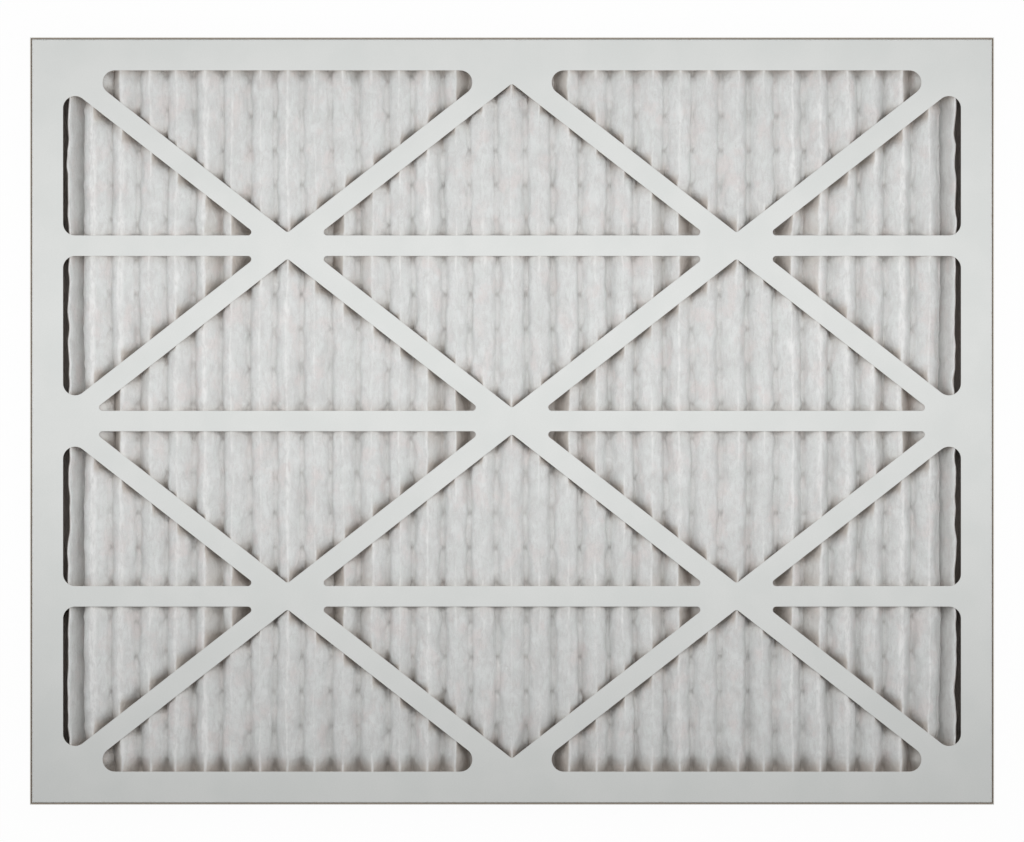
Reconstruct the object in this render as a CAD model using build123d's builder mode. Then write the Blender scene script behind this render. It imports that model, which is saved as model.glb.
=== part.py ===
from build123d import *
import os
from math import asin, atan2, cos, degrees, hypot, radians, sin

# A pleated panel air filter, nominal 20 x 25 x 1 in, lying flat with its front face up.
# A pleated pack of non-woven media, bonded to an expanded-metal grid on the air-leaving
# side, is held between two die-cut beverage-board trays. The front tray nests inside the
# back tray. X runs along the length, Y along the pleats, Z is up. The origin is at the
# bottom centre. All sizes are in millimetres.

# Outside of the filter
FILTER_LENGTH = 622.3
FILTER_WIDTH = 495.3
FILTER_DEPTH = 22.2

# Board trays
BOARD = 0.7                 # caliper of the beverage board
NEST_GAP = 0.3              # air between the walls of the two trays
CORNER_SEAM = 0.5           # slit between two folded flaps at a corner

# Die-cut windows of both faces
BORDER = 21.3               # solid board from the filter's edge to the windows
STRUT_WIDTH = 13.2
STRUT_FILLET = 2.2          # window corners between two struts
BORDER_FILLET = 7.8         # window corners at the border
WINDOW_COLUMNS = 4          # lattice steps along the length, two to each crossing
WINDOW_ROWS = 4             # lattice steps along the width, a rail between each two

# Pleated media
MEDIA_THICKNESS = 2.0
PLEAT_PITCH = 17.88
CREST_RADIUS = 3.2          # inside the fold at a crest
VALLEY_RADIUS = 1.0         # inside the fold at a valley
CREST_FLAT_COUNT = 4        # flats that round a crest, an even number
VALLEY_FLAT_COUNT = 4       # flats that round a valley, an even number
END_FLANGE = 12.0           # least width of the flat end glued to the back border
PACK_GAP = 0.3              # between the pleated pack and the front tray's walls

# Expanded-metal support grid
GRID_THICKNESS = 0.5
GRID_GAP_WIDTH = 4.0        # opening over each fold, across the pleat
GRID_GAP_ROWS = 1           # openings along each fold
GRID_BRIDGE = 20.0          # metal left between openings, half of it past the end ones
GRID_GAP_POINT = 14.0       # length of the pointed ends of an opening

# Worked out from the sizes above
FOLD_RADIUS = BOARD + NEST_GAP
FRONT_LENGTH = FILTER_LENGTH - 2 * (BOARD + NEST_GAP)
FRONT_WIDTH = FILTER_WIDTH - 2 * (BOARD + NEST_GAP)
FIELD_LENGTH = FILTER_LENGTH - 2 * BORDER
FIELD_WIDTH = FILTER_WIDTH - 2 * BORDER
CELL_LENGTH = FIELD_LENGTH / WINDOW_COLUMNS
CELL_WIDTH = FIELD_WIDTH / WINDOW_ROWS
STRUT_ANGLE = degrees(atan2(CELL_WIDTH, CELL_LENGTH))

PACK_LENGTH = FRONT_LENGTH - 2 * (BOARD + PACK_GAP)
PACK_WIDTH = FRONT_WIDTH - 2 * (BOARD + PACK_GAP)
PLEATS = int((PACK_LENGTH - 2 * END_FLANGE) // PLEAT_PITCH)
CREST_ARC = CREST_RADIUS + MEDIA_THICKNESS / 2
VALLEY_ARC = VALLEY_RADIUS + MEDIA_THICKNESS / 2
CREST_Z = FILTER_DEPTH - BOARD - MEDIA_THICKNESS / 2
VALLEY_Z = BOARD + GRID_THICKNESS + MEDIA_THICKNESS / 2
CREST_CENTRE_Z = CREST_Z - CREST_ARC
VALLEY_CENTRE_Z = VALLEY_Z + VALLEY_ARC
CENTRE_RISE = CREST_CENTRE_Z - VALLEY_CENTRE_Z
CENTRE_SPAN = hypot(PLEAT_PITCH / 2, CENTRE_RISE)
FLANK_ANGLE = degrees(
    atan2(CENTRE_RISE, PLEAT_PITCH / 2) + asin((CREST_ARC + VALLEY_ARC) / CENTRE_SPAN)
)


def on_rim(vertex):
    """Says whether a window's corner lies on the edge of the window field."""
    off_end = abs(abs(vertex.X) - FIELD_LENGTH / 2)
    off_side = abs(abs(vertex.Y) - FIELD_WIDTH / 2)
    return min(off_end, off_side) < BOARD / 100


# The windows: the whole field, less three rails and six crossing diagonal struts.
with BuildSketch() as windows:
    Rectangle(FIELD_LENGTH, FIELD_WIDTH)
    with GridLocations(0, CELL_WIDTH, 1, WINDOW_ROWS - 1):
        Rectangle(FIELD_LENGTH, STRUT_WIDTH, mode=Mode.SUBTRACT)
    strut_reach = hypot(FIELD_LENGTH, FIELD_WIDTH) + 2 * STRUT_WIDTH
    with GridLocations(2 * CELL_LENGTH, 0, WINDOW_COLUMNS - 1, 1):
        Rectangle(strut_reach, STRUT_WIDTH, rotation=STRUT_ANGLE, mode=Mode.SUBTRACT)
        Rectangle(strut_reach, STRUT_WIDTH, rotation=-STRUT_ANGLE, mode=Mode.SUBTRACT)
    fillet([v for v in windows.vertices() if not on_rim(v)], STRUT_FILLET)
    fillet([v for v in windows.vertices() if on_rim(v)], BORDER_FILLET)


def fold_up_tray(length, width, face_z, flap_end_z):
    """Adds one folded board tray to the open part: a face with four side flaps.

    The outside of the face is at face_z, and the flaps are folded towards flap_end_z.
    """
    inward = 1 if flap_end_z > face_z else -1
    with BuildSketch(Plane.XY.offset(face_z)) as blank:
        Rectangle(length, width)
    extrude(blank.sketch, amount=flap_end_z - face_z)
    outer_face = faces().filter_by(Axis.Z).sort_by(Axis.Z)[::inward][0]
    fillet(outer_face.edges(), FOLD_RADIUS)
    open_face = faces().filter_by(Axis.Z).sort_by(Axis.Z)[::inward][-1]
    offset(amount=-BOARD, openings=open_face)


def cut_windows(face_z, inward):
    """Cuts the die-cut windows through the open part's face."""
    with BuildSketch(Plane.XY.offset(face_z)) as cutter:
        add(windows.sketch)
    extrude(cutter.sketch, amount=inward * BOARD, mode=Mode.SUBTRACT)


def slit_corners(length, width, face_z, flap_end_z):
    """Parts the flaps from each other at the four corners, from the fold to the cut edge."""
    start = face_z + (FOLD_RADIUS if flap_end_z > face_z else -FOLD_RADIUS)
    across = length - 2 * BOARD - CORNER_SEAM
    with BuildSketch(Plane.XY.offset(start)) as slits:
        with GridLocations(across, width - BOARD, 2, 2):
            Rectangle(CORNER_SEAM, BOARD)
    extrude(slits.sketch, amount=flap_end_z - start, mode=Mode.SUBTRACT)


with BuildPart() as back_frame:
    fold_up_tray(FILTER_LENGTH, FILTER_WIDTH, 0, FILTER_DEPTH)
    cut_windows(0, 1)
    slit_corners(FILTER_LENGTH, FILTER_WIDTH, 0, FILTER_DEPTH)

with BuildPart() as front_frame:
    fold_up_tray(FRONT_LENGTH, FRONT_WIDTH, FILTER_DEPTH, BOARD)
    cut_windows(FILTER_DEPTH, -1)
    slit_corners(FRONT_LENGTH, FRONT_WIDTH, FILTER_DEPTH, BOARD)


def fold_points(centre, radius, middle_angle, half_angle, flats):
    """The corners of one fold, a chain of equal flats on an arc, from left to right."""
    way = 1 if middle_angle > 180 else -1
    return [
        (
            centre[0] + radius * cos(radians(middle_angle + way * half_angle * step)),
            centre[1] + radius * sin(radians(middle_angle + way * half_angle * step)),
        )
        for step in (2 * n / flats - 1 for n in range(flats + 1))
    ]


def pleat_points(rise):
    """The corners of one surface of the pack, rise above the media's middle.

    They run from the left end to the right: a flat flange, then valley, crest, valley and so
    on. Every flank is the straight line that touches the arcs of two folds.
    """
    points = [(-PACK_LENGTH / 2, VALLEY_Z + rise)]
    for fold in range(2 * PLEATS + 1):
        x = (fold / 2 - PLEATS / 2) * PLEAT_PITCH
        if fold % 2:
            points += fold_points(
                (x, CREST_CENTRE_Z), CREST_ARC + rise, 90, FLANK_ANGLE, CREST_FLAT_COUNT
            )
            continue
        valley = fold_points(
            (x, VALLEY_CENTRE_Z), VALLEY_ARC - rise, 270, FLANK_ANGLE, VALLEY_FLAT_COUNT
        )
        if fold == 0:
            valley = valley[VALLEY_FLAT_COUNT // 2 :]
        if fold == 2 * PLEATS:
            valley = valley[: VALLEY_FLAT_COUNT // 2 + 1]
        points += valley
    return points + [(PACK_LENGTH / 2, VALLEY_Z + rise)]


def pleated_sheet(top_rise, bottom_rise):
    """Adds a pleated sheet to the open part, between two surfaces of the pack."""
    with BuildSketch(Plane.XZ.offset(-PACK_WIDTH / 2)) as section:
        with BuildLine():
            Polyline(*pleat_points(top_rise), *reversed(pleat_points(bottom_rise)), close=True)
        make_face()
    extrude(section.sketch, amount=PACK_WIDTH)


with BuildPart() as pleated_media:
    pleated_sheet(MEDIA_THICKNESS / 2, -MEDIA_THICKNESS / 2)

with BuildPart() as support_grid:
    pleated_sheet(-MEDIA_THICKNESS / 2, -MEDIA_THICKNESS / 2 - GRID_THICKNESS)
    gap_pitch = PACK_WIDTH / GRID_GAP_ROWS
    gap_end = (gap_pitch - GRID_BRIDGE) / 2
    gap_shoulder = gap_end - GRID_GAP_POINT
    gap_side = GRID_GAP_WIDTH / 2
    with BuildSketch() as gaps:
        with GridLocations(PLEAT_PITCH, gap_pitch, PLEATS - 1, GRID_GAP_ROWS):
            Polygon(
                (gap_side, -gap_shoulder),
                (gap_side, gap_shoulder),
                (0, gap_end),
                (-gap_side, gap_shoulder),
                (-gap_side, -gap_shoulder),
                (0, -gap_end),
            )
    extrude(amount=VALLEY_CENTRE_Z, mode=Mode.SUBTRACT)

back_frame.part.label = "back_frame"
front_frame.part.label = "front_frame"
pleated_media.part.label = "pleated_media"
support_grid.part.label = "support_grid"

os.makedirs("parts", exist_ok=True)
export_step(back_frame.part, "parts/back_frame.step")
export_step(front_frame.part, "parts/front_frame.step")
export_step(pleated_media.part, "parts/pleated_media.step")
export_step(support_grid.part, "parts/support_grid.step")
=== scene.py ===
import math

import bpy
import numpy as np
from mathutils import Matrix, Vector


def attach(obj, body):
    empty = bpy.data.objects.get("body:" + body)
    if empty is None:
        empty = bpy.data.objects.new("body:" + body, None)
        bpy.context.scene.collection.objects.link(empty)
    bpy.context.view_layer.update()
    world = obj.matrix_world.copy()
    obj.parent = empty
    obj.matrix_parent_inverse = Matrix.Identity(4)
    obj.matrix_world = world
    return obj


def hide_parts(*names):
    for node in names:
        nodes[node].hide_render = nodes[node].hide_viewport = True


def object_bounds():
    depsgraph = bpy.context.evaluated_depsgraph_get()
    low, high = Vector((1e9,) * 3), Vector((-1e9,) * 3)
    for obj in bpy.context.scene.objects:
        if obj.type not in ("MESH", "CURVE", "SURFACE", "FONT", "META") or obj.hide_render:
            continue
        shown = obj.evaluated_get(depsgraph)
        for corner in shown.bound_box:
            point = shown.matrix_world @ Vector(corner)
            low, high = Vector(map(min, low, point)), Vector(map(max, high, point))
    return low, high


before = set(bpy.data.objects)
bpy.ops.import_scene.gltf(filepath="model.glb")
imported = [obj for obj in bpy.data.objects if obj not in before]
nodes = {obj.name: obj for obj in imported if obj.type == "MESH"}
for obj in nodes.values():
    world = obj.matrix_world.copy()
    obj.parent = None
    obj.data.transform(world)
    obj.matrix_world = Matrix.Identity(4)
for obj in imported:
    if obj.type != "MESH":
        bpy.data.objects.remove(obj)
cad_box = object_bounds()
bpy.ops.object.select_all(action="DESELECT")
scene = bpy.context.scene

# A pleated panel air filter, lying with its front face up. X runs along its length, Y along
# the pleats and Z up. Sizes are in millimetres, and MM turns them into metres.
MM = 0.001
LENGTH, WIDTH, DEPTH = (1000 * side for side in cad_box[1] - cad_box[0])

# Board trays
NEST = 1.0                       # board and air between the outsides of the two trays
FOLD_RADIUS = 1.0                # outside of a fold
BORDER = 21.3                    # board from the filter's edge to the windows
STRUT = 13.2                     # width of a strut
FIELD_WIDTH = WIDTH - 2 * BORDER
CELL_LENGTH = (LENGTH - 2 * BORDER) / 4
CELL_WIDTH = FIELD_WIDTH / 4
STRUT_SLOPE = CELL_WIDTH / CELL_LENGTH

# Pleated pack
PLEATS = 33
PITCH = 17.88
HALF = PITCH / 2
PACK_LENGTH = LENGTH - 4.0
PACK_WIDTH = WIDTH - 4.0
FIRST_VALLEY = -PLEATS * HALF
FLANGE_X = (-PACK_LENGTH / 2, (FIRST_VALLEY - PACK_LENGTH / 2) / 2)
FLANGE_TOP = 3.2                 # top of the media where it lies flat on the back tray
VALLEY_BACK = 1.2                # underside of the media there
CREST = 21.5                     # top of the media

# Expanded metal
MESH_ROWS = 21                   # diamonds along the pleats
MESH_LONG = PACK_WIDTH / MESH_ROWS
MESH_PER_PLEAT = 4               # diamonds along the folded length of one pleat
STRAND = 1.1
METAL = 0.3
METAL_GAP = 0.2                  # between the media and the metal
MERGE = 0.02                     # corners of two diamonds closer than this become one


# ---------------------------------------------------------------- camera and studio

# In metres
CAMERA_HEIGHT = 1.8              # above the front face
VIEW_WIDTH = 0.661               # across the camera's view, at the front face
SENSOR_WIDTH = 36                # of the camera, in millimetres as Blender has it
LAMP_SIZE = (1.2, 0.4)
LAMP_PLACE = (0, 0.08, 0.4)      # above the front face
FLOOR_SIZE = 30
FLOOR_DROP = 0.0002              # keeps the floor clear of the back tray

SKY_STRENGTH = 0.35
LAMP_ENERGY = 2.2
FLOOR_WHITE = 0.93
FLOOR_GLOW = 0.97                # share of plain white in the floor that the camera sees


def make_camera():
    data = bpy.data.cameras.new("camera")
    camera = bpy.data.objects.new("camera", data)
    scene.collection.objects.link(camera)
    data.sensor_fit = "HORIZONTAL"
    data.sensor_width = SENSOR_WIDTH
    data.lens = SENSOR_WIDTH * CAMERA_HEIGHT / VIEW_WIDTH
    data.clip_start = 0.05
    data.clip_end = 50
    camera.location = (0, 0, DEPTH * MM + CAMERA_HEIGHT)
    scene.camera = camera


def make_lights():
    """A plain white sky and one long softbox over the filter."""
    world = bpy.data.worlds.new("studio")
    scene.world = world
    world.use_nodes = True
    tree = world.node_tree
    tree.nodes.clear()
    out = tree.nodes.new("ShaderNodeOutputWorld")
    sky = tree.nodes.new("ShaderNodeBackground")
    sky.inputs["Color"].default_value = (1, 1, 1, 1)
    sky.inputs["Strength"].default_value = SKY_STRENGTH
    tree.links.new(sky.outputs["Background"], out.inputs["Surface"])
    lamp = bpy.data.lights.new("softbox", "AREA")
    lamp.shape = "RECTANGLE"
    lamp.size, lamp.size_y = LAMP_SIZE
    lamp.energy = LAMP_ENERGY
    holder = bpy.data.objects.new("softbox", lamp)
    scene.collection.objects.link(holder)
    holder.location = (LAMP_PLACE[0], LAMP_PLACE[1], DEPTH * MM + LAMP_PLACE[2])
    holder.visible_camera = False


def make_floor():
    """A pale floor that looks white, and still keeps the filter's shadow."""
    bpy.ops.mesh.primitive_plane_add(size=FLOOR_SIZE, location=(0, 0, -FLOOR_DROP))
    floor = bpy.context.object
    floor.name = "floor"
    material, tree, shader = new_material("studio_floor")
    shader.inputs["Base Color"].default_value = (FLOOR_WHITE, FLOOR_WHITE, FLOOR_WHITE, 1)
    shader.inputs["Roughness"].default_value = 0.9
    rays = tree.nodes.new("ShaderNodeLightPath")
    seen = maths(tree, "MAXIMUM", rays.outputs["Is Camera Ray"], rays.outputs["Is Glossy Ray"])
    seen = maths(tree, "MAXIMUM", seen, rays.outputs["Is Transmission Ray"])
    glow = tree.nodes.new("ShaderNodeEmission")
    glow.inputs["Strength"].default_value = 1.0
    blend = tree.nodes.new("ShaderNodeMixShader")
    tree.links.new(maths(tree, "MULTIPLY", seen, FLOOR_GLOW), blend.inputs["Fac"])
    tree.links.new(shader.outputs["BSDF"], blend.inputs[1])
    tree.links.new(glow.outputs["Emission"], blend.inputs[2])
    tree.links.new(blend.outputs["Shader"], tree.nodes["out"].inputs["Surface"])
    floor.data.materials.append(material)
    bpy.ops.object.select_all(action="DESELECT")


# ---------------------------------------------------------------- material workshop


def new_material(name):
    material = bpy.data.materials.new(name)
    material.use_nodes = True
    tree = material.node_tree
    tree.nodes.clear()
    out = tree.nodes.new("ShaderNodeOutputMaterial")
    out.name = "out"
    shader = tree.nodes.new("ShaderNodeBsdfPrincipled")
    tree.links.new(shader.outputs["BSDF"], out.inputs["Surface"])
    return material, tree, shader


def feed(tree, socket, value):
    """Links another node's output to a socket, or sets the socket to a plain value."""
    if isinstance(value, bpy.types.NodeSocket):
        tree.links.new(value, socket)
    elif value is not None:
        socket.default_value = value


def maths(tree, operation, first, second=None):
    node = tree.nodes.new("ShaderNodeMath")
    node.operation = operation
    feed(tree, node.inputs[0], first)
    feed(tree, node.inputs[1], second)
    return node.outputs[0]


def vector_maths(tree, operation, first, second=None):
    node = tree.nodes.new("ShaderNodeVectorMath")
    node.operation = operation
    feed(tree, node.inputs[0], first)
    feed(tree, node.inputs[1], second)
    return node.outputs["Value" if operation == "LENGTH" else "Vector"]


def ramp(tree, value, low, high, to_low=0.0, to_high=1.0):
    """A smooth step of value: to_low up to low, and to_high from high."""
    node = tree.nodes.new("ShaderNodeMapRange")
    node.interpolation_type = "SMOOTHSTEP"
    tree.links.new(value, node.inputs["Value"])
    node.inputs["From Min"].default_value = low
    node.inputs["From Max"].default_value = high
    node.inputs["To Min"].default_value = to_low
    node.inputs["To Max"].default_value = to_high
    return node.outputs["Result"]


def tint(tree, factor, first, second):
    """Mixes two colours: the first at factor 0, the second at 1."""
    node = tree.nodes.new("ShaderNodeMix")
    node.data_type = "RGBA"
    for number, value in ((0, factor), (6, first), (7, second)):
        feed(tree, node.inputs[number], (*value, 1) if isinstance(value, tuple) else value)
    return node.outputs[2]


def place(tree):
    return tree.nodes.new("ShaderNodeTexCoord").outputs["Object"]


def stretched(tree, scale, location=(0, 0, 0)):
    """The place on the object, scaled and shifted, for a pattern that runs one way."""
    node = tree.nodes.new("ShaderNodeMapping")
    tree.links.new(place(tree), node.inputs["Vector"])
    node.inputs["Scale"].default_value = scale
    node.inputs["Location"].default_value = location
    return node.outputs["Vector"]


def noise(tree, vector, scale, detail, rough, distortion=0.0):
    node = tree.nodes.new("ShaderNodeTexNoise")
    tree.links.new(vector, node.inputs["Vector"])
    node.inputs["Scale"].default_value = scale
    node.inputs["Detail"].default_value = detail
    node.inputs["Roughness"].default_value = rough
    node.inputs["Distortion"].default_value = distortion
    return node.outputs["Fac"]


def attribute(tree, name):
    node = tree.nodes.new("ShaderNodeAttribute")
    node.attribute_name = name
    return node.outputs["Fac"]


def bump(tree, shader, height, strength, depth):
    node = tree.nodes.new("ShaderNodeBump")
    node.inputs["Strength"].default_value = strength
    node.inputs["Distance"].default_value = depth * MM
    tree.links.new(height, node.inputs["Height"])
    tree.links.new(node.outputs["Normal"], shader.inputs["Normal"])


# ---------------------------------------------------------------- board

CLAY_WHITE, CLAY_SHADE, CLAY_GRAIN = (0.80, 0.815, 0.80), (0.765, 0.785, 0.77), (0.70, 0.71, 0.69)
KRAFT_PALE, KRAFT_DARK, KRAFT_FLECK = (0.45, 0.32, 0.205), (0.33, 0.225, 0.14), (0.24, 0.15, 0.09)
EDGE_PALE, EDGE_DARK = (0.72, 0.69, 0.64), (0.58, 0.54, 0.48)
SCUFF_BROWN = (0.52, 0.43, 0.33)
CLAY_ROUGHNESS, KRAFT_ROUGHNESS = 0.5, 0.86

# Distances out from the centres of the folds. The inside of the board is at 0.3, its outside
# at 1.0, and the cut edge of the board lies between them.
KRAFT_TO_EDGE = (0.31 * MM, 0.36 * MM)
EDGE_TO_CLAY = (0.87 * MM, 0.93 * MM)
CLAY_TO_OUTSIDE = (0.985 * MM, 1.0 * MM)


def coated_board(name, length, width, face_down):
    """Beverage board: a white clay coat on the outside of the tray, kraft brown elsewhere."""
    material, tree, shader = new_material(name)
    turn = (1, 1, -1) if face_down else (1, 1, 1)
    shift = (0, 0, DEPTH * MM) if face_down else (0, 0, 0)
    outward = vector_maths(tree, "ABSOLUTE", stretched(tree, turn, shift))
    core = tuple((side - FOLD_RADIUS) * MM for side in (length / 2, width / 2, DEPTH))
    past_core = vector_maths(tree, "SUBTRACT", outward, core)
    past_core = vector_maths(tree, "MAXIMUM", past_core, (0, 0, 0))
    reach = vector_maths(tree, "LENGTH", past_core)
    coated = ramp(tree, reach, *EDGE_TO_CLAY)

    cloud = noise(tree, place(tree), scale=34, detail=3, rough=0.5)
    grain = noise(tree, stretched(tree, (1, 2.6, 1)), scale=900, detail=4, rough=0.6)
    fleck = noise(tree, place(tree), scale=2600, detail=2, rough=0.7)
    scuff = noise(tree, place(tree), scale=420, detail=5, rough=0.65)

    white = tint(tree, ramp(tree, cloud, 0.3, 0.7), CLAY_SHADE, CLAY_WHITE)
    white = tint(tree, ramp(tree, grain, 0.35, 0.7, 0.0, 0.3), white, CLAY_GRAIN)
    scuffed = ramp(tree, scuff, 0.56, 0.66, 0.0, 0.35)
    scuffed = maths(tree, "MULTIPLY", on_folds(tree, outward, core), scuffed)
    scuffed = maths(tree, "MULTIPLY", scuffed, ramp(tree, reach, *CLAY_TO_OUTSIDE))
    white = tint(tree, scuffed, white, SCUFF_BROWN)

    kraft = tint(tree, ramp(tree, grain, 0.3, 0.7), KRAFT_DARK, KRAFT_PALE)
    kraft = tint(tree, ramp(tree, fleck, 0.58, 0.72, 0.0, 0.5), kraft, KRAFT_FLECK)
    cut_edge = tint(tree, ramp(tree, grain, 0.3, 0.7), EDGE_DARK, EDGE_PALE)
    kraft = tint(tree, ramp(tree, reach, *KRAFT_TO_EDGE), kraft, cut_edge)

    tree.links.new(tint(tree, coated, kraft, white), shader.inputs["Base Color"])
    roughness = ramp(tree, coated, 0, 1, KRAFT_ROUGHNESS, CLAY_ROUGHNESS)
    tree.links.new(roughness, shader.inputs["Roughness"])
    shader.inputs["Specular IOR Level"].default_value = 0.35
    height = maths(tree, "ADD", grain, maths(tree, "MULTIPLY", cloud, 2.0))
    bump(tree, shader, height, strength=0.25, depth=0.05)
    return material


def on_folds(tree, outward, core):
    """1 on the rounded folds between the face and the flaps of a tray."""
    parts = tree.nodes.new("ShaderNodeSeparateXYZ")
    tree.links.new(outward, parts.inputs[0])
    over = [maths(tree, "GREATER_THAN", part, limit) for part, limit in zip(parts.outputs, core)]
    return maths(tree, "MULTIPLY", maths(tree, "MAXIMUM", over[0], over[1]), over[2])


# ---------------------------------------------------------------- fleece and metal

FLEECE_WHITE, FLEECE_SHADE = (0.83, 0.845, 0.838), (0.725, 0.73, 0.722)
FLEECE_ROSE, FLEECE_GREEN = (0.80, 0.75, 0.735), (0.77, 0.80, 0.785)
STREAK_GREY, FIBRE_WHITE, WRINKLE_SHADE = (0.66, 0.65, 0.64), (0.95, 0.95, 0.94), (0.52, 0.50, 0.48)
CREST_HIGHLIGHT, VALLEY_SHADE, KNOT_SHADE = (0.97, 0.97, 0.96), (0.60, 0.58, 0.56), (0.42, 0.40, 0.38)
BOARD_SHADE_BROWN, SLOT_SHADE_BROWN = (0.53, 0.45, 0.38), (0.22, 0.19, 0.18)
ZINC_PALE, ZINC_GREY, SPANGLE_GREY = (0.68, 0.69, 0.70), (0.52, 0.53, 0.54), (0.44, 0.45, 0.47)

# The media carries two values at each point, both of them painted light. The first is 1 for a
# painted highlight on a crest, -1 for painted shade in a valley and -2 at a knot of it. The
# second is 1 for painted shade where the fleece is glued down, and 1.5 to 2 for the deeper
# painted shade on the dark flanks and flanges at the two ends.
FLANK_SHADE, FLANGE_SHADE = 1.5, 2.0


def nonwoven():
    """Soft white non-woven blanket, its fibres mostly along the pleats."""
    material, tree, shader = new_material("nonwoven_media")
    crease_light, board_shade = attribute(tree, "crease_light"), attribute(tree, "board_shade")
    streak = noise(tree, stretched(tree, (1, 0.3, 1)), 480, 6, 0.66, distortion=0.6)
    fibre = noise(tree, stretched(tree, (1, 0.6, 1)), 2400, 4, 0.7)
    patch = noise(tree, stretched(tree, (1, 0.7, 1)), 125, 5, 0.6, distortion=0.5)
    hue = noise(tree, stretched(tree, (1, 0.7, 1), (0.3, 0.1, 0)), 85, 4, 0.55)

    colour = tint(tree, ramp(tree, patch, 0.3, 0.7), FLEECE_SHADE, FLEECE_WHITE)
    colour = tint(tree, ramp(tree, hue, 0.5, 0.7, 0, 0.75), colour, FLEECE_ROSE)
    colour = tint(tree, ramp(tree, hue, 0.5, 0.32, 0, 0.5), colour, FLEECE_GREEN)
    colour = tint(tree, ramp(tree, streak, 0.45, 0.66, 0.0, 0.5), colour, STREAK_GREY)
    colour = tint(tree, ramp(tree, fibre, 0.5, 0.72, 0.0, 0.42), colour, FIBRE_WHITE)

    # Wrinkles are thin lines of painted shade along the middle level of a noise, most of them in
    # the valleys
    level = noise(tree, stretched(tree, (1, 0.8, 1), (0.1, 0.4, 0)), 95, 2, 0.5, distortion=1.2)
    off_middle = maths(tree, "ABSOLUTE", maths(tree, "SUBTRACT", level, 0.5))
    wrinkle = ramp(tree, off_middle, 0.002, 0.016, 1.0, 0.0)
    wrinkle = maths(tree, "MULTIPLY", wrinkle, ramp(tree, crease_light, -1.0, 0.0, 0.7, 0.35))
    colour = tint(tree, maths(tree, "MULTIPLY", wrinkle, 0.32), colour, WRINKLE_SHADE)

    # Painted shade in the valleys, and darker painted shade at their knots
    colour = tint(tree, ramp(tree, crease_light, -0.3, -1.0, 0.0, 0.24), colour, VALLEY_SHADE)
    colour = tint(tree, ramp(tree, crease_light, -1.3, -2.0, 0.0, 0.36), colour, KNOT_SHADE)
    # Painted highlight along the crests, broken up by the streaks
    shining = ramp(tree, crease_light, 0.15, 0.9, 0.0, 0.85)
    shining = maths(tree, "MULTIPLY", shining, ramp(tree, streak, 0.35, 0.6, 1.0, 0.35))
    colour = tint(tree, shining, colour, CREST_HIGHLIGHT)
    # Painted shade, tinted brown by light off the kraft, beside the board and under it
    colour = tint(tree, ramp(tree, board_shade, 0.1, 1.0, 0.0, 0.6), colour, BOARD_SHADE_BROWN)
    # Deeper painted shade in the narrow slots at the two ends
    colour = tint(tree, ramp(tree, board_shade, 1.1, 2.0, 0.0, 0.6), colour, SLOT_SHADE_BROWN)
    tree.links.new(colour, shader.inputs["Base Color"])

    shader.inputs["Roughness"].default_value = 0.95
    shader.inputs["Specular IOR Level"].default_value = 0.12
    shader.inputs["Sheen Weight"].default_value = 0.12
    shader.inputs["Sheen Roughness"].default_value = 0.6
    streaks, fibres = maths(tree, "MULTIPLY", streak, 1.6), maths(tree, "MULTIPLY", fibre, 0.6)
    height = maths(tree, "ADD", streaks, fibres)
    height = maths(tree, "ADD", height, maths(tree, "MULTIPLY", patch, 3.0))
    bump(tree, shader, height, strength=0.8, depth=0.5)
    return material


def galvanised():
    """Thin galvanised sheet, slit and stretched, with a dull grey grain."""
    material, tree, shader = new_material("galvanised_metal")
    grain = noise(tree, stretched(tree, (1, 0.2, 1)), scale=1500, detail=4, rough=0.6)
    spangle = noise(tree, place(tree), scale=260, detail=3, rough=0.5)
    colour = tint(tree, ramp(tree, grain, 0.3, 0.7), ZINC_GREY, ZINC_PALE)
    colour = tint(tree, ramp(tree, spangle, 0.5, 0.7, 0.0, 0.4), colour, SPANGLE_GREY)
    tree.links.new(colour, shader.inputs["Base Color"])
    shader.inputs["Metallic"].default_value = 0.9
    tree.links.new(ramp(tree, grain, 0.3, 0.7, 0.36, 0.52), shader.inputs["Roughness"])
    bump(tree, shader, grain, strength=0.3, depth=0.05)
    return material


# ---------------------------------------------------------------- where the folds run

FOLD_WANDER = 0.55               # how unevenly the folds are spaced
CREST_LEAN = 2.2                 # how far the crests near the ends lean outwards
FULL_LEAN_X = 170                # distance from the middle at which they lean that far
# Slow waves in every fold: swing, length along Y, length along X, start
FOLD_WAVES = ((0.45, 37, 61, 0), (0.3, 19.5, -23, 2))

dice = np.random.default_rng(7)
FOLD_X = FIRST_VALLEY + HALF * np.arange(2 * PLEATS + 1)
fold_drift = dice.normal(0, FOLD_WANDER, FOLD_X.size)
fold_drift[3:-3:2] += CREST_LEAN * np.clip(FOLD_X[3:-3:2] / FULL_LEAN_X, -1, 1)
fold_drift[[0, -1]] = 0


def crest_x(pleat):
    return FIRST_VALLEY + (pleat + 0.5) * PITCH


def drift(x, y):
    """How far a fold wanders sideways from its even place."""
    free = np.clip((-FIRST_VALLEY - np.abs(x)) / PITCH, 0, 1)
    slow = sum(
        swing * np.sin(y / along + x / across + start) for swing, along, across, start in FOLD_WAVES
    )
    return free * (np.interp(x, FOLD_X, fold_drift) + slow)


# ---------------------------------------------------------------- where the board is glued

# How firmly the board holds the fleece, from 0 to 1, and how far along the pleat from its edge
TOP_HOLD, TOP_REACH = 0.3, 5
BOTTOM_HOLD, BOTTOM_REACH = 0.5, 12
RAIL_HOLD, RAIL_REACH = 0.1, 4
CORNER_HOLD, CORNER_HEIGHT = 0.95, 42
STRUT_REACH = 11
STRUT_REACH_LESS = 3.5           # on flanks that face outwards, and more on the others
FULL_STRUT_X = 120               # distance from the middle at which it is that much
STRUT_SHARPNESS = 1.6


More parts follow.
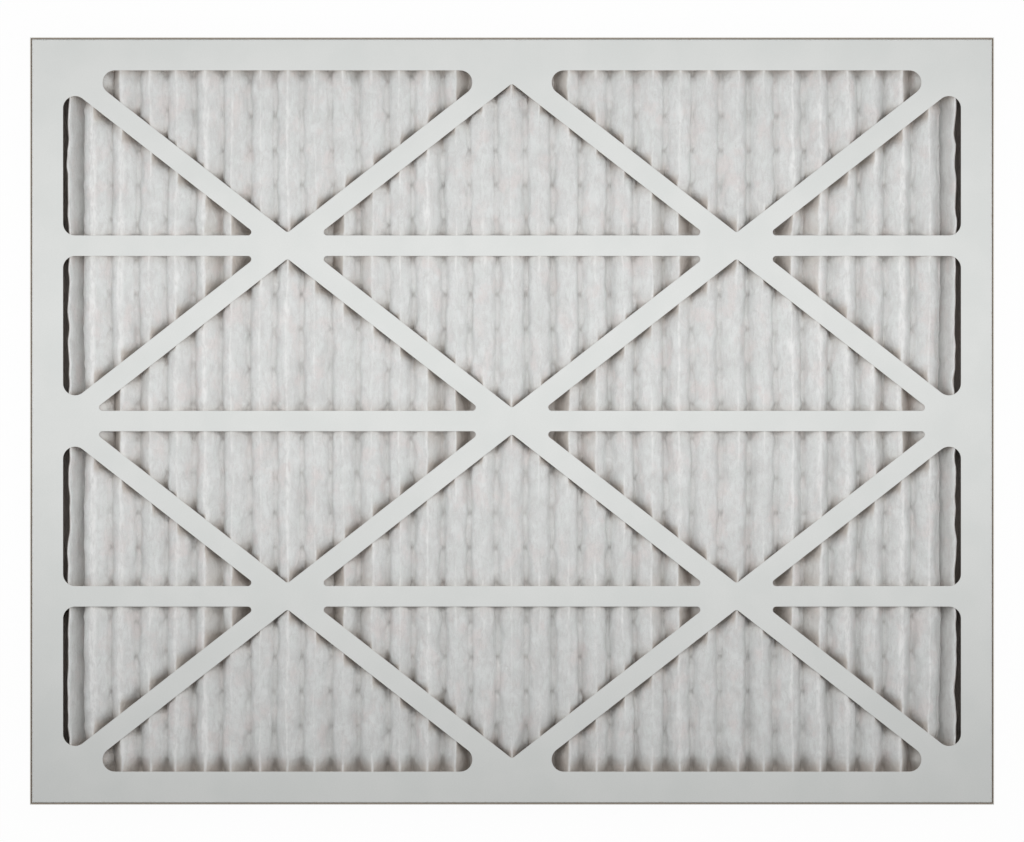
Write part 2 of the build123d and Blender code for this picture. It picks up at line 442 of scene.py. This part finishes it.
def fade(distance, reach):
    """1 at the edge of a strut and 0 from reach onwards."""
    t = np.clip(distance / reach, 0, 1)
    return 1 - t * t * (3 - 2 * t)


def strut_edges(x):
    """For each strut over one pleat: middle, half its width along the pleat, and its slope."""
    rise = STRUT / 2 * math.hypot(1, STRUT_SLOPE)
    for centre in (-2 * CELL_LENGTH, 0, 2 * CELL_LENGTH):
        for slope in (STRUT_SLOPE, -STRUT_SLOPE):
            yield slope * (x - centre), rise, slope
    for row in (-1, 0, 1):
        yield row * CELL_WIDTH, STRUT / 2, 0


def pinch(x, y, side):
    """How far the glued board holds in one flank of a pleat, from 0 to 1, along y.

    side is -1 for the flank to the left of the crest and 1 for the one to the right. A
    diagonal strut pinches a flank on one side of itself only.
    """
    held = np.maximum(
        TOP_HOLD * fade(FIELD_WIDTH / 2 - y, TOP_REACH),
        BOTTOM_HOLD * fade(y + FIELD_WIDTH / 2, BOTTOM_REACH),
    )
    reach = STRUT_REACH - STRUT_REACH_LESS * side * np.clip(x / FULL_STRUT_X, -1, 1)
    for middle, half, slope in strut_edges(x):
        above, below = y - middle - half, middle - half - y
        if slope == 0:
            amount = RAIL_HOLD * fade(np.maximum(above, below), RAIL_REACH)
        else:
            way = 1 if slope * side > 0 else -1
            sharp, blunt = (above, below) if way > 0 else (below, above)
            under_strut = np.clip((half + (y - middle) * way) / (2 * half), 0, 1)
            amount = np.where(sharp > 0, fade(sharp, reach) ** STRUT_SHARPNESS, under_strut)
            amount = amount * (blunt <= 0)
        held = 1 - (1 - held) * (1 - amount)
    return 1 - (1 - held) * (1 - in_corner(x, y, side))


def in_corner(x, y, side):
    """How far the narrow corner of a window holds a flank that lies towards it."""
    top, bottom = np.full_like(y, FIELD_WIDTH / 2), np.full_like(y, -FIELD_WIDTH / 2)
    top_slope, bottom_slope = np.zeros_like(y), np.zeros_like(y)
    for middle, half, slope in strut_edges(x):
        low, high = middle - half, middle + half
        nearer_top, nearer_bottom = (y < low) & (low < top), (y > high) & (high > bottom)
        top_slope = np.where(nearer_top, slope, top_slope)
        top = np.where(nearer_top, low, top)
        bottom_slope = np.where(nearer_bottom, slope, bottom_slope)
        bottom = np.where(nearer_bottom, high, bottom)
    narrows = (top_slope - bottom_slope) * side < 0
    return narrows * fade(top - bottom, CORNER_HEIGHT) * CORNER_HOLD


def from_board(x, y):
    """Distance along the pleat at x from y to the nearest glued board."""
    gaps = [FIELD_WIDTH / 2 - y, y + FIELD_WIDTH / 2]
    gaps += [np.abs(y - middle) - half for middle, half, _ in strut_edges(x)]
    return np.clip(np.min(gaps, axis=0), 0, None)


# ---------------------------------------------------------------- sections of the pleats

# Half sections of the media's front, from valley to crest: distance from the crest, height
CRISP = np.array([
    (8.94, 15.9), (7.8, 16.0), (7.35, 16.9), (7.1, 18.4), (6.75, 19.7),
    (5.8, 20.7), (4.0, 21.2), (1.3, 21.45), (0.0, 21.5),
])
SLACK = np.array([
    (8.94, 13.9), (8.0, 14.4), (7.2, 15.6), (6.4, 17.1), (5.6, 18.6),
    (4.7, 19.8), (3.5, 20.7), (1.3, 21.35), (0.0, 21.5),
])
RIDGED = np.array([
    (8.94, 12.8), (8.0, 13.1), (7.1, 14.1), (6.2, 15.6), (5.2, 17.3),
    (4.1, 18.9), (2.9, 20.3), (1.2, 21.3), (0.0, 21.5),
])
PINCHED = np.array([
    (8.94, 3.2), (8.1, 3.7), (7.2, 5.6), (6.2, 8.2), (5.1, 11.0),
    (3.9, 13.9), (2.6, 17.0), (1.0, 20.6), (0.0, 21.5),
])
ENDMOST = np.array([
    (8.94, 3.2), (5.5, 3.2), (3.2, 3.4), (2.3, 4.4), (1.9, 7.0),
    (1.6, 11.5), (1.3, 16.0), (0.8, 19.8), (0.0, 21.5),
])
TOP_STEP = len(CRISP) - 1        # the step of a half section that is the crest

# The same half pleat from behind: a broad fold at the valley and a tight one at the crest,
# each with its radius and the height of its centre
RIDGE, RIDGE_Z, TUCK, TUCK_Z = 3.0, 4.2, 1.2, 17.2
CENTRES_APART = math.hypot(HALF, TUCK_Z - RIDGE_Z)
CROSSING = math.asin((RIDGE + TUCK) / CENTRES_APART)
LEAN = math.atan2(TUCK_Z - RIDGE_Z, HALF) + CROSSING
RIDGE_FLATS, TUCK_FLATS = 4, 3


def back_section(off=0.0, endmost=False):
    """Half section of the media's back, moved off it outwards, from valley to crest."""
    if endmost:
        wall, floor = off - 0.5, VALLEY_BACK - off
        return np.array([
            (HALF, floor), (6.0, floor), (3.2, floor), (0.9, floor), (wall + 0.4, floor + 0.4),
            (wall, floor + 1.4), (wall, 14.0), (wall, TUCK_Z), (0, TUCK_Z + TUCK - off),
        ])
    ridge = [
        (HALF - (RIDGE + off) * math.sin(a), RIDGE_Z - (RIDGE + off) * math.cos(a))
        for a in np.linspace(0, LEAN, RIDGE_FLATS + 1)
    ]
    tuck = [
        ((TUCK - off) * math.sin(a), TUCK_Z + (TUCK - off) * math.cos(a))
        for a in np.linspace(LEAN, 0, TUCK_FLATS + 1)
    ]
    return np.array(ridge + tuck)


def back_line(half, endmost):
    """The media's back from end to end, from one half section and the endmost one."""
    floor = half[0][1]
    x, z = [*FLANGE_X], [floor] * 2
    for pleat in range(PLEATS):
        crest = crest_x(pleat)
        left = half[1:] if pleat else endmost
        right = (half if pleat < PLEATS - 1 else endmost)[-2::-1]
        x += [crest - a for a in left[:, 0]] + [crest + a for a in right[:, 0]]
        z += [*left[:, 1], *right[:, 1]]
    return x + [-FLANGE_X[1], -FLANGE_X[0]], z + [floor] * 2


# ---------------------------------------------------------------- the fleece, pleat by pleat

SPARE = 4                        # points cut off each end of a smoothed line
END_PLEATS = 7                   # pleats at each end whose crests shine more
END_HOLD = 0.84                  # least hold on the inner flanks of the first and last pleat
END_SHADE = 1.45                 # taken off their crease value, as painted shade on them

# Valleys: how deep they are against the half sections, from 0 to 1
DEPTH_LEFT = 0.46
DEPTH_MORE_RIGHT = 0.36
DEPTH_MORE_DOWN = 0.3
DEPTH_LEAST = 0.25

DEPTH_CHANCE = 0.2               # from one valley to the next
DEPTH_ROUGHNESS = 0.12           # along one valley

# Knots: where a crossing of the metal pulls a valley in
KNOT_WIDTH = 0.3                 # as a share of a cosine's swing from knot to knot
KNOT_WANDER = 0.3                # along the valley, in radians of that cosine
KNOT_BOW = (0.7, 1.3)            # how far a knot shifts its valley sideways
KNOT_DIP = 1.8
KNOT_SPREAD = 0.4

# Crests
WANDER_FINE, WANDER_COARSE = 0.18, 0.2
WANDER_AT_ENDS = 1.8             # times as much in the first and last pleat
SHINE_LEAST = 0.2
SHINE_REACH = 14                 # from the board, beside which the crests shine most
SHINE_CHANCE = (-0.3, 0.9)       # from one crest to the next
SHINE_ROUGHNESS = 0.12
SHINE_BREADTH = (-0.5, 0.6)      # share of the shine that spreads beside the crest
BREADTH_ROUGHNESS = 0.25
BREADTH_MOST = 0.9
MORE_AT_ENDS = 0.5               # added to shine and breadth in END_PLEATS

# Flanks
SLACK_LEAN = 0.4                 # how much slacker the flanks are that face the middle
SLACK_X = 90                     # distance from the middle at which they are that slack
SLACK_CHANCE, SLACK_ROUGHNESS = 0.3, 0.2
PEAK_X = 260                     # distance from the middle at which flanks are most ridged
PEAK_INWARD, PEAK_OUTWARD_LEFT, PEAK_OUTWARD_RIGHT = 0.3, 0.6, 0.9
PEAK_LEAST, PEAK_ROUGHNESS = 0.6, 0.2
RAGGED_SWING, LUMP_SWING = 0.24, 0.22
RAGGED_RISE, LUMP_RISE = 0.1, 0.16
RISE_LIMITS = (-0.5, 0.25)
BOARD_SHADE_AMOUNT, BOARD_SHADE_REACH = 0.4, 10  # painted shade, brown from light off the kraft, of the fleece beside the glued board


def rough(count, smoothing):
    """An uneven line along a pleat, about 1 high, the same from run to run."""
    line = dice.normal(0, 1, count + 2 * SPARE)
    for _ in range(smoothing):
        line = (np.roll(line, 1) + 2 * line + np.roll(line, -1)) / 4
    line = line[SPARE:-SPARE]
    return line / line.std()


def valley_marks(y):
    """For every valley along y: its knots, how they bow it sideways, and its depth."""
    beat = 2 * math.pi * (y + PACK_WIDTH / 2) / MESH_LONG
    valleys = range(PLEATS + 1)
    knots = [
        np.clip((np.cos(beat + dice.normal(0, KNOT_WANDER)) - (1 - KNOT_WIDTH)) / KNOT_WIDTH, 0, 1)
        for _ in valleys
    ]
    bows = [dice.choice((-1, 1)) * dice.uniform(*KNOT_BOW) * knot for knot in knots]
    depths = [
        np.clip(
            DEPTH_LEFT + DEPTH_MORE_RIGHT * valley / PLEATS - DEPTH_MORE_DOWN * y / FIELD_WIDTH
            + dice.uniform(-DEPTH_CHANCE, DEPTH_CHANCE) + DEPTH_ROUGHNESS * rough(y.size, 10),
            DEPTH_LEAST, 1,
        )
        for valley in valleys
    ]
    return list(zip(knots, bows, depths))


def crest_line(pleat, y):
    """Along one crest: how it wanders sideways, how it shines, and how broad the shine is."""
    inward = min(pleat, PLEATS - 1 - pleat)
    more = MORE_AT_ENDS * (inward < END_PLEATS)
    wander = WANDER_FINE * rough(y.size, 1) + WANDER_COARSE * rough(y.size, 4)
    wander = wander * (WANDER_AT_ENDS if inward == 0 else 1)
    beside_board = np.exp(-from_board(crest_x(pleat), y) / SHINE_REACH)
    shine = SHINE_LEAST + (1 - SHINE_LEAST) * beside_board
    shine = np.maximum(shine, dice.uniform(*SHINE_CHANCE) + more)
    shine = np.clip(shine + SHINE_ROUGHNESS * rough(y.size, 3), 0, 1)
    breadth = dice.uniform(*SHINE_BREADTH) + more + BREADTH_ROUGHNESS * rough(y.size, 2)
    return wander, shine, np.clip(breadth, 0, BREADTH_MOST)


def flank(pleat, side, y, crest, valley):
    """One flank as rows of points from valley to crest, each with x, z and its two painted-light
    values.
    """
    wander, shine, breadth = crest
    knot, bow, depth = valley
    x = crest_x(pleat)
    faces_out = side * x > 0
    last_pleat = pleat in (0, PLEATS - 1)
    at_wall = last_pleat and faces_out
    behind_wall = last_pleat and not faces_out

    glued = np.ones_like(y) if at_wall else pinch(x, y, side)
    # Painted shade that fades out from the board
    shade_near_board = BOARD_SHADE_AMOUNT * np.exp(-from_board(x, y) / BOARD_SHADE_REACH)
    hold = np.maximum(glued, END_HOLD) if behind_wall else glued
    free = 1 - hold
    ragged, lump = rough(y.size, 1), rough(y.size, 4)
    slackness = 0.5 - SLACK_LEAN * side * np.clip(x / SLACK_X, -1, 1)
    slackness = slackness + dice.uniform(-SLACK_CHANCE, SLACK_CHANCE)
    slackness = np.clip(slackness + SLACK_ROUGHNESS * rough(y.size, 6), 0, 1)
    outward_peak = PEAK_OUTWARD_RIGHT if x > 0 else PEAK_OUTWARD_LEFT
    peaked = min(abs(x) / PEAK_X, 1) * (outward_peak if faces_out else PEAK_INWARD)
    unevenness = dice.uniform(PEAK_LEAST, 1) + PEAK_ROUGHNESS * rough(y.size, 6)
    peaked = peaked * np.clip(unevenness, 0, 1)

    rows = []
    for step in range(TOP_STEP + 1):
        loose = CRISP[step][:, None] * (1 - slackness) + SLACK[step][:, None] * slackness
        loose = loose * (1 - peaked) + RIDGED[step][:, None] * peaked
        loose[1] = CREST - (CREST - loose[1]) * np.maximum(depth, peaked)
        tight = (ENDMOST if at_wall else PINCHED)[step]
        swell = free * math.sin(math.pi * step / TOP_STEP)
        spread = RAGGED_SWING * ragged + LUMP_SWING * lump + KNOT_SPREAD * knot * (step < 5)
        across = loose[0] + (tight[0] - loose[0]) * hold + swell * spread
        up = loose[1] + (tight[1] - loose[1]) * hold - free * KNOT_DIP * knot * (step < 2)
        up = up + swell * np.clip(LUMP_RISE * lump + RAGGED_RISE * ragged, *RISE_LIMITS)
        sideways = free * bow * max(0, 1 - step / 6)
        # Painted highlight: full on the crest, and its breadth on the step beside it
        shining = 1 if step == TOP_STEP else breadth if step == TOP_STEP - 1 else 0
        crease_light = shine * shining
        # Painted shade low in a free valley, darker at a knot
        if step < 3:
            crease_light = crease_light - free * (1 + knot * (step < 2))
        # Painted shade on the inner flanks of the first and last pleat, beside the wall
        if behind_wall and step < TOP_STEP - 1:
            crease_light = crease_light - END_SHADE
        # Painted shade beside the board, and where it holds the flank in
        board_shade = shade_near_board + glued * (step < TOP_STEP)
        # Deep painted shade in the slot between the end pleat and the wall
        if at_wall and step < TOP_STEP:
            board_shade = np.full_like(y, FLANGE_SHADE if step < 3 else FLANK_SHADE)
        along_x = x + wander * step / TOP_STEP + sideways + side * np.minimum(across, HALF)
        rows.append((along_x, up, crease_light, board_shade))
    return rows


def front_surface(y):
    """The media's front along y: x, z and the two painted-light values, each with a row for every
    y.
    """
    # The flat flanges at the two ends, in deep painted shade
    flange = [
        [np.full_like(y, value) for value in (x, FLANGE_TOP, 0, FLANGE_SHADE)] for x in FLANGE_X
    ]
    valleys = valley_marks(y)
    surface = [*flange]
    for pleat in range(PLEATS):
        crest = crest_line(pleat, y)
        left = flank(pleat, -1, y, crest, valleys[pleat])
        right = flank(pleat, 1, y, crest, valleys[pleat + 1])
        surface += (left[1:] if pleat else left) + right[-2::-1]
    surface += [(-x, *rest) for x, *rest in reversed(flange)]
    return np.array(surface).transpose(1, 2, 0)


FRONT_ROWS = 133
BACK_EVERY = 3                   # rows of the front to each row of the back


def pleated_blanket():
    """The media as one closed sheet: a finely modelled front and a plainer back."""
    fine = np.linspace(-PACK_WIDTH / 2, PACK_WIDTH / 2, FRONT_ROWS)
    coarse = fine[::BACK_EVERY]
    fx, fz, crease_light, board_shade = front_surface(fine)
    bx, bz = back_line(back_section(), back_section(endmost=True))
    columns = len(bx)
    bx, by = np.meshgrid(bx, coarse)
    bz = np.tile(bz, (coarse.size, 1))
    fy = np.tile(fine[:, None], (1, columns))
    points = np.concatenate([
        np.stack([fx + drift(fx, fy), fy, fz], -1).reshape(-1, 3),
        np.stack([bx + drift(bx, by), by, bz], -1).reshape(-1, 3),
    ])

    def front(r, c):
        return r * columns + c

    def back(r, c):
        return fine.size * columns + r * columns + c

    faces = [
        (front(r, c), front(r, c + 1), front(r + 1, c + 1), front(r + 1, c))
        for r in range(fine.size - 1) for c in range(columns - 1)
    ]
    faces += [
        (back(r, c), back(r + 1, c), back(r + 1, c + 1), back(r, c + 1))
        for r in range(coarse.size - 1) for c in range(columns - 1)
    ]
    far, back_far, last = fine.size - 1, coarse.size - 1, columns - 1
    for c in range(last):
        faces.append((front(0, c), back(0, c), back(0, c + 1), front(0, c + 1)))
        faces.append(
            (front(far, c), front(far, c + 1), back(back_far, c + 1), back(back_far, c))
        )
    for r in range(back_far):
        rows = [BACK_EVERY * r + k for k in range(BACK_EVERY + 1)]
        faces.append((*(front(row, 0) for row in rows), back(r + 1, 0), back(r, 0)))
        faces.append(
            (back(r, last), back(r + 1, last), *(front(row, last) for row in reversed(rows)))
        )
    mesh = bpy.data.meshes.new("media_blanket")
    mesh.from_pydata((points * MM).tolist(), [], faces)
    for name, values in (("crease_light", crease_light), ("board_shade", board_shade)):
        layer = mesh.attributes.new(name, "FLOAT", "POINT")
        full = np.zeros(len(points), np.float32)
        full[: values.size] = values.ravel()
        layer.data.foreach_set("value", full)
    mesh.shade_smooth()
    mesh.materials.append(nonwoven())
    blanket = bpy.data.objects.new("media_blanket", mesh)
    scene.collection.objects.link(blanket)
    return blanket


# ---------------------------------------------------------------- the expanded metal

METAL_FOLD_FLATS = 12            # flats that round each fold of the metal


def fold_path():
    """The folded line that the metal follows: its length so far from the middle, x and z."""
    half = []
    for middle_x, middle_z, radius, way in (
        (HALF, RIDGE_Z, RIDGE + METAL_GAP, -1),
        (0, TUCK_Z, TUCK - METAL_GAP, 1),
    ):
        arc = [
            (middle_x + way * radius * math.sin(a), middle_z + way * radius * math.cos(a))
            for a in np.linspace(0, LEAN, METAL_FOLD_FLATS + 1)
        ]
        half += arc[::-way]
    half = np.array(half)
    x, z = (np.array(line) for line in back_line(half, back_section(METAL_GAP, endmost=True)))
    run = np.concatenate([[0], np.cumsum(np.hypot(np.diff(x), np.diff(z)))])
    return run - run[-1] / 2, x, z


def flat_diamonds(first, count, short):
    """A flat sheet of expanded metal: one slit and stretched diamond, repeated both ways."""
    bpy.ops.mesh.primitive_circle_add(vertices=4, radius=0.5, fill_type="NOTHING")
    metal = bpy.context.object
    metal.scale = (short * MM, MESH_LONG * MM, 1)
    bpy.ops.object.transform_apply(location=False, rotation=False, scale=True)
    bpy.ops.object.mode_set(mode="EDIT")
    bpy.ops.mesh.select_all(action="SELECT")
    bpy.ops.mesh.subdivide(number_cuts=1)
    bpy.ops.mesh.edge_face_add()
    bpy.ops.mesh.inset(thickness=STRAND / 2 * MM, use_even_offset=True)
    bpy.ops.mesh.delete(type="FACE")
    bpy.ops.mesh.select_all(action="SELECT")
    to_corner = (first * short * MM, (MESH_LONG - PACK_WIDTH) / 2 * MM, 0)
    bpy.ops.transform.translate(value=to_corner)
    bpy.ops.mesh.duplicate_move(
        TRANSFORM_OT_translate={"value": (short / 2 * MM, MESH_LONG / 2 * MM, 0)}
    )
    bpy.ops.object.mode_set(mode="OBJECT")
    for repeats, step in ((count, (short * MM, 0, 0)), (MESH_ROWS + 1, (0, MESH_LONG * MM, 0))):
        bpy.ops.object.modifier_add(type="ARRAY")
        array = metal.modifiers[-1]
        array.count = repeats
        array.use_relative_offset = False
        array.use_constant_offset = True
        array.constant_offset_displace = step
        bpy.ops.object.modifier_apply(modifier=array.name)
    bpy.ops.object.mode_set(mode="EDIT")
    bpy.ops.mesh.select_all(action="SELECT")
    bpy.ops.mesh.remove_doubles(threshold=MERGE * MM)
    return metal


def trim(place, normal):
    """Cuts off what lies past a plane, in edit mode."""
    bpy.ops.mesh.select_all(action="SELECT")
    bpy.ops.mesh.bisect(plane_co=place, plane_no=normal, clear_outer=True)


def expanded_metal(name, side):
    """Half of the metal grid, from the middle crest to one end, folded along the pleats."""
    run, path_x, path_z = fold_path()
    short = run_of_pleat() / MESH_PER_PLEAT
    count = math.ceil(run[-1] / short) + 1
    metal = flat_diamonds(-1 if side > 0 else -count, count + 2, short)
    metal.name = name
    trim((0, PACK_WIDTH / 2 * MM, 0), (0, 1, 0))
    trim((0, -PACK_WIDTH / 2 * MM, 0), (0, -1, 0))
    trim((0, 0, 0), (-side, 0, 0))
    trim((side * run[-1] * MM, 0, 0), (side, 0, 0))
    bpy.ops.object.mode_set(mode="OBJECT")
    flat = np.zeros(len(metal.data.vertices) * 3)
    metal.data.vertices.foreach_get("co", flat)
    flat = flat.reshape(-1, 3) / MM
    x, z = np.interp(flat[:, 0], run, path_x), np.interp(flat[:, 0], run, path_z)
    folded = np.stack([x + drift(x, flat[:, 1]), flat[:, 1], z], -1) * MM
    metal.data.vertices.foreach_set("co", folded.ravel())
    bpy.ops.object.modifier_add(type="SOLIDIFY")
    metal.modifiers[-1].thickness = METAL * MM
    metal.modifiers[-1].offset = -1
    bpy.ops.object.modifier_apply(modifier=metal.modifiers[-1].name)
    metal.data.materials.clear()
    bpy.ops.object.select_all(action="DESELECT")
    return metal


def run_of_pleat():
    """The folded length of one pleat of the metal."""
    return 2 * (LEAN * (RIDGE + TUCK) + CENTRES_APART * math.cos(CROSSING))


# ---------------------------------------------------------------- assembly

make_camera()
make_lights()
make_floor()

front_board = coated_board("front_board", LENGTH - 2 * NEST, WIDTH - 2 * NEST, False)
back_board = coated_board("back_board", LENGTH, WIDTH, True)
for node, board in (("front_frame", front_board), ("back_frame", back_board)):
    nodes[node].data.materials.clear()
    nodes[node].data.materials.append(board)

galvanised_metal = galvanised()
for name, side in (("expanded_metal_left", -1), ("expanded_metal_right", 1)):
    half_grid = expanded_metal(name, side)
    half_grid.data.materials.append(galvanised_metal)
    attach(half_grid, "root")
    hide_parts("support_grid")

blanket = pleated_blanket()
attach(blanket, "root")
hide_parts("pleated_media")

scene.view_settings.view_transform = "Standard"
